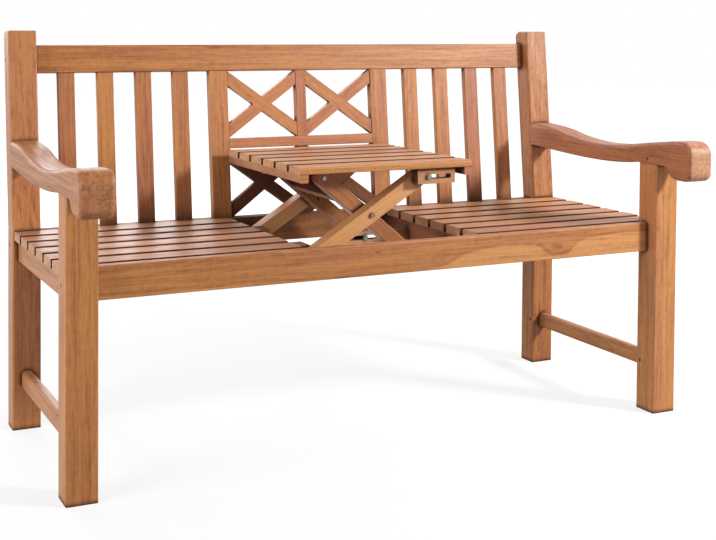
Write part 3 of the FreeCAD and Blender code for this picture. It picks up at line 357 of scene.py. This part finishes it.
def grained(net, rng, where, centre, grain, tone, hue, knot=0.0, pale_end=PALE_END):
    """One board's grain: the group, placed so that its fibres run along the grain."""
    start = Z_GRAIN if grain == Y_GRAIN else Y_GRAIN
    second = grain.cross(start).normalized()
    turn = Matrix((grain, second, grain.cross(second).normalized()))
    along = rng.uniform(*LOG_ALONG)
    aside = rng.choice((-1, 1)) * rng.uniform(*PITH_ASIDE)
    pith = Vector((along, aside, rng.uniform(*PITH_AWAY)))
    place = net.add("ShaderNodeMapping", {
        "Vector": where["Object"], "Location": pith - turn @ centre, "Rotation": turn.to_euler(),
    }, vector_type="POINT").outputs[0]
    facing = net.unsigned(net.vector("DOT_PRODUCT", where["Normal"], grain))
    return net.add("ShaderNodeGroup", {
        "Vector": place, "Tone": tone, "Hue": hue, "Knot": knot,
        "End": net.ramp(facing, *END_FACING, 0.0, pale_end),
    }, node_tree=GRAIN).outputs


def painted_shade_of(name):
    """The painted shade of a board where close pieces would shade it: from far in the table's well, and from
    less far on the back.
    """
    if name in WELL_PIECES:
        return WELL_PAINTED_SHADE
    return BACK_PAINTED_SHADE if name.startswith(("back_slats", "back_stile")) else JOINT_PAINTED_SHADE


def finish_teak(net, board, painted_shading, gap_shade=0.0):
    """The shader of a board: painted shade where other pieces come close, in joints and gaps, and along the
    slats' gaps.
    """
    reach = {"Distance": painted_shading["reach"]}
    openness = net.add("ShaderNodeAmbientOcclusion", reach, samples=PAINTED_SHADE_SAMPLES).outputs["AO"]
    painted_shade = net.ramp(openness, painted_shading["full"], painted_shading["none"], painted_shading["strength"], 0.0)
    painted_shade = net.math("MAXIMUM", painted_shade, gap_shade)
    bump = net.add("ShaderNodeBump", {
        "Height": board["Height"], "Strength": BUMP_STRENGTH, "Distance": BUMP_HEIGHT,
    })
    net.end(net.add("ShaderNodeBsdfPrincipled", {
        "Base Color": net.mix(painted_shade, board["Color"], linear(PAINTED_SHADE_AND_PORES)),
        "Roughness": net.plus(board["Roughness"], net.times(painted_shade, PAINTED_SHADE_ROUGHER), clamp=True),
        "Normal": bump.outputs[0], "IOR": OILED_IOR,
        "Sheen Weight": SHEEN, "Sheen Roughness": SHEEN_ROUGHNESS,
    }))


def painted_gap_shade(net, where, name, high):
    """The painted shade in the gaps, on the long edges of a slat below its top face."""
    depth = net.ramp(net.minus(high.z, net.axes(where["Object"])[2]), *GAP_SHADE_DEPTH)
    sideways = net.axes(where["Normal"])[1]
    if name in GAP_SHADE_SIDE:
        sideways = net.times(sideways, GAP_SHADE_SIDE[name])
    else:
        sideways = net.unsigned(sideways)
    return net.times(net.times(depth, net.ramp(sideways, *GAP_SHADE_FACING)), GAP_SHADE_STRENGTH)


def knots_at(net, where, knots):
    """How near a point is to the closest of the knots on a front face."""
    axes = net.axes(where["Object"])
    total = 0.0
    for x, z, radius in knots:
        across = net.math("DIVIDE", net.minus(axes[0], x), radius * KNOT_LENGTH)
        along = net.math("DIVIDE", net.minus(axes[2], z), radius)
        away = net.math("SQRT", net.plus(net.times(across, across), net.times(along, along)))
        total = net.math("MAXIMUM", total, net.ramp(away, 0.0, 1.0, 1.0, 0.0))
    return total


def side_by_side(net, rng, where, cell, tone):
    """Tone and hue that change from board to board along X, with the boards' start and pitch as the cell."""
    start, pitch = cell
    across = net.minus(net.axes(where["Object"])[0], start)
    index = net.math("FLOOR", net.math("DIVIDE", across, pitch))
    draw = {"W": net.plus(index, rng.uniform(*CELL_DRAWS))}
    chance = net.add("ShaderNodeTexWhiteNoise", draw, noise_dimensions="1D").outputs["Value"]
    least, most = CELL_TONES
    other = net.math("FRACT", net.times(chance, CELL_HUE_TURNS))
    return (net.ramp(chance, 0.0, 1.0, tone + least, tone + most, smooth=False),
            net.ramp(other, 0.0, 1.0, *CELL_HUES, smooth=False))


def golden_band(net, where, low, high, sapwood, tone, hue):
    """Tone and hue with a golden band along the lower edge and a thin dark line on its border."""
    axes = net.axes(where["Object"])
    curve = net.add("ShaderNodeFloatCurve", {"Value": net.ramp(axes[0], low.x, high.x, smooth=False)})
    points = curve.mapping.curves[0].points
    spots = [((x - low.x) / (high.x - low.x), (z - low.z) / (high.z - low.z)) for x, z in sapwood]
    points[0].location, points[1].location = spots[0], spots[-1]
    for spot in spots[1:-1]:
        points.new(*spot)
    curve.mapping.update()
    border = net.ramp(curve.outputs[0], 0.0, 1.0, low.z, high.z, smooth=False)
    wave = net.minus(net.noise(where["Object"], **BAND_WAVES), NOISE_MEAN)
    wave = net.times(wave, BAND_WAVE_HEIGHT)
    above = net.minus(net.plus(axes[2], wave), border)
    level = net.ramp(above, *BAND_EDGE)
    line = net.times(net.ramp(above, *BAND_LINE_START), net.ramp(above, *BAND_LINE_END))
    hue = net.ramp(level, 0.0, 1.0, hue - BAND_HUE, hue, smooth=False)
    tone = net.ramp(level, 0.0, 1.0, tone - BAND_TONE, tone, smooth=False)
    return net.plus(tone, net.times(line, BAND_LINE_TONE)), hue


def teak(name, grain, tone=0.0, hue=0.5, cell=None, knots=(), sapwood=(), pale_end=PALE_END):
    """A teak material for a node, whose fibres run along the grain."""
    rng = random.Random(f"{BOARD_SEED}{name}")
    low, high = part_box(name)
    material, net = material_net(name + "_teak")
    where = net.coordinates()
    tone += rng.uniform(*TONE_SPREAD)
    hue += rng.uniform(*HUE_SPREAD)
    if cell:
        tone, hue = side_by_side(net, rng, where, cell, tone)
    if sapwood:
        tone, hue = golden_band(net, where, low, high, sapwood, tone, hue)
    knot = knots_at(net, where, knots) if knots else 0.0
    gap_shade = 0.0
    # Slats get painted shade on the long edges in their gaps, and fully pale ends.
    if "_slat_" in name:
        gap_shade = painted_gap_shade(net, where, name, high)
        pale_end = SLAT_PALE_END
    board = grained(net, rng, where, (low + high) / 2, grain, tone, hue, knot, pale_end)
    finish_teak(net, board, painted_shade_of(name), gap_shade)
    return material


def crossed_teak(name):
    """Teak for a pair of halved diagonal bars, each with its own fibres."""
    rng = random.Random(f"{BOARD_SEED}{name}")
    low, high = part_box(name)
    centre = (low + high) / 2
    width, height = high.x - low.x, high.z - low.z
    slope = math.acos(CROSS_BAR_WIDTH / math.hypot(width, height)) - math.atan2(width, height)
    material, net = material_net(name + "_teak")
    where = net.coordinates()
    local = net.vector("SUBTRACT", where["Object"], centre)
    boards, inside = [], []
    for sign in (1, -1):
        grain = Vector((math.cos(slope), 0, sign * math.sin(slope)))
        square = Vector((-sign * math.sin(slope), 0, math.cos(slope)))
        tone = rng.uniform(*CROSS_TONES)
        boards.append(grained(net, rng, where, centre, grain, tone, rng.uniform(*CROSS_HUES)))
        off = net.unsigned(net.vector("DOT_PRODUCT", local, square))
        inside.append(net.math("LESS_THAN", off, CROSS_BAR_WIDTH / 2 + CROSS_BAR_MARGIN))
    # The rising bar has the front half of the joint.
    front = net.math("GREATER_THAN", net.vector("DOT_PRODUCT", local, RAKED_GRAIN.cross(X_GRAIN)), 0.0)
    falling = net.times(inside[1], net.minus(1.0, net.times(inside[0], front)))
    board = {
        "Color": net.mix(falling, boards[0]["Color"], boards[1]["Color"]),
        "Roughness": boards[0]["Roughness"],
        "Height": boards[0]["Height"],
    }
    finish_teak(net, board, painted_shade_of(name))
    return material


def peg_wood(name):
    """The dark end grain of the pegs, with fine pores."""
    material, net = material_net(name + "_end_grain")
    pores = net.noise(net.coordinates()["Object"], **PEG_PORES)
    net.end(net.add("ShaderNodeBsdfPrincipled", {
        "Base Color": net.mix(net.ramp(pores, *PORE_COLOUR), linear(PEG_WOOD), linear(PAINTED_SHADE_AND_PORES)),
        "Roughness": net.ramp(pores, *PEG_ROUGHNESS), "IOR": PEG_IOR,
    }))
    return material


def metal(name, colour, rough):
    """Dull steel with fine darker marks."""
    material, net = material_net(name + "_steel")
    marks = net.noise(net.coordinates()["Object"], **METAL_MARKS)
    net.end(net.add("ShaderNodeBsdfPrincipled", {
        "Base Color": net.mix(net.ramp(marks, *MARK_COLOUR), linear(colour), linear(STEEL_MARKS)),
        "Metallic": 1.0, "Roughness": net.ramp(marks, *MARK_SPAN, rough, rough + MARK_ROUGHER),
    }))
    return material


def direction(node):
    """The grain of a board: along its longest side."""
    low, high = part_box(node)
    size = high - low
    if node.startswith(("outer_leg", "inner_leg_front", "inner_leg_rear")):
        side = 1 if node.startswith("outer") else -1
        return Vector((size.x - LEG_BAR_WIDTH, 0, side * (size.z - LEG_BAR_WIDTH))).normalized()
    if node.startswith(("back_stile", "back_muntin", "back_slats")):
        return RAKED_GRAIN
    if size.x >= max(size.y, size.z):
        return X_GRAIN
    return Y_GRAIN if size.y >= size.z else Z_GRAIN


def material_of(node):
    if node == "crossing_bolts":
        return metal(node, BOLT_STEEL, PIN_ROUGHNESS)
    if node in ("frame_hinge_bolts", "inner_leg_pins", "table_slide_pins"):
        return metal(node, PIN_STEEL, PIN_ROUGHNESS)
    if node == "seat_screws":
        return metal(node, SCREW_STEEL, SCREW_ROUGHNESS)
    if node == "wood_pegs":
        return peg_wood(node)
    if node.startswith("back_cross"):
        return crossed_teak(node)
    look = TABLE_SLAT if node.startswith("table_slat_") else BOARDS.get(node, {})
    return teak(node, direction(node), **look)


for node in sorted(NODES):
    mesh = NODES[node].data
    mesh.materials.clear()
    mesh.materials.append(material_of(node))


def add_object(name, data):
    thing = bpy.data.objects.new(name, data)
    bpy.context.scene.collection.objects.link(thing)
    return thing


def add_camera():
    """The solved camera. Its frame lies off its axis, as in a cropped picture."""
    flat = math.cos(CAMERA_PITCH)
    forward = Vector((math.sin(CAMERA_YAW) * flat, math.cos(CAMERA_YAW) * flat, -math.sin(CAMERA_PITCH)))
    level = Vector((math.cos(CAMERA_YAW), -math.sin(CAMERA_YAW), 0))
    above = level.cross(forward)
    right = level * math.cos(CAMERA_ROLL) + above * math.sin(CAMERA_ROLL)
    up = above * math.cos(CAMERA_ROLL) - level * math.sin(CAMERA_ROLL)
    data = bpy.data.cameras.new("camera")
    data.sensor_width = SENSOR_WIDTH
    data.lens = FOCAL_PIXELS / IMAGE_WIDTH * SENSOR_WIDTH
    data.shift_x = (IMAGE_WIDTH / 2 - CENTRE_PIXEL[0]) / IMAGE_WIDTH
    data.shift_y = (CENTRE_PIXEL[1] - IMAGE_HEIGHT / 2) / IMAGE_WIDTH
    data.clip_end = CLIP_END
    camera = add_object("camera", data)
    turned = Matrix((right, up, -forward)).transposed().to_quaternion()
    camera.matrix_world = Matrix.LocRotScale(CAMERA_PLACE, turned, None)
    bpy.context.scene.camera = camera


def seen_ray(net):
    """1 for rays of the camera, of gloss and of glass."""
    rays = net.add("ShaderNodeLightPath").outputs
    gloss = net.math("MAXIMUM", rays["Is Glossy Ray"], rays["Is Transmission Ray"])
    return net.math("MAXIMUM", rays["Is Camera Ray"], gloss)


def add_floor():
    """A floor that is white to the eye, apart from the bench's shadow, and pale grey to the light."""
    corners = [(x * FLOOR_HALF, y * FLOOR_HALF, 0) for x, y in ((-1, -1), (1, -1), (1, 1), (-1, 1))]
    mesh = bpy.data.meshes.new("floor")
    mesh.from_pydata(corners, [], [(0, 1, 2, 3)])
    add_object("floor", mesh)
    material, net = material_net("floor_white")
    out = net.vector("DISTANCE", net.coordinates()["Object"], (0, 0, 0))
    glow = net.add("ShaderNodeEmission", {"Color": grey(1), "Strength": net.ramp(out, *FLOOR_GLOW)})
    film = net.add("ShaderNodeBsdfDiffuse", {"Color": grey(SHADOW_FILM)})
    white = net.add("ShaderNodeAddShader", {0: glow.outputs[0], 1: film.outputs[0]})
    matt = net.add("ShaderNodeBsdfDiffuse", {"Color": grey(FLOOR_GREY)})
    net.end(net.add("ShaderNodeMixShader", {0: seen_ray(net), 1: matt.outputs[0], 2: white.outputs[0]}))
    mesh.materials.append(material)


def add_world():
    """A plain white world, which is brighter to the eye than as a light."""
    world = bpy.data.worlds.new("studio")
    bpy.context.scene.world = world
    world.use_nodes = True
    net = Net(world.node_tree)
    strength = net.ramp(seen_ray(net), 0.0, 1.0, WORLD_LIGHT, WORLD_SEEN, smooth=False)
    sky = net.add("ShaderNodeBackground", {"Color": grey(1), "Strength": strength})
    net.add("ShaderNodeOutputWorld", {"Surface": sky.outputs[0]})


def add_softbox(name, place, aim, size, watts):
    data = bpy.data.lights.new(name, "AREA")
    data.shape = "SQUARE"
    data.size = size
    data.energy = watts
    lamp = add_object(name, data)
    lamp.location = place
    lamp.rotation_euler = (Vector(aim) - Vector(place)).to_track_quat("-Z", "Y").to_euler()


add_camera()
add_floor()
add_world()
for lamp in LAMPS:
    add_softbox(**lamp)
bpy.context.scene.view_settings.view_transform = "Standard"
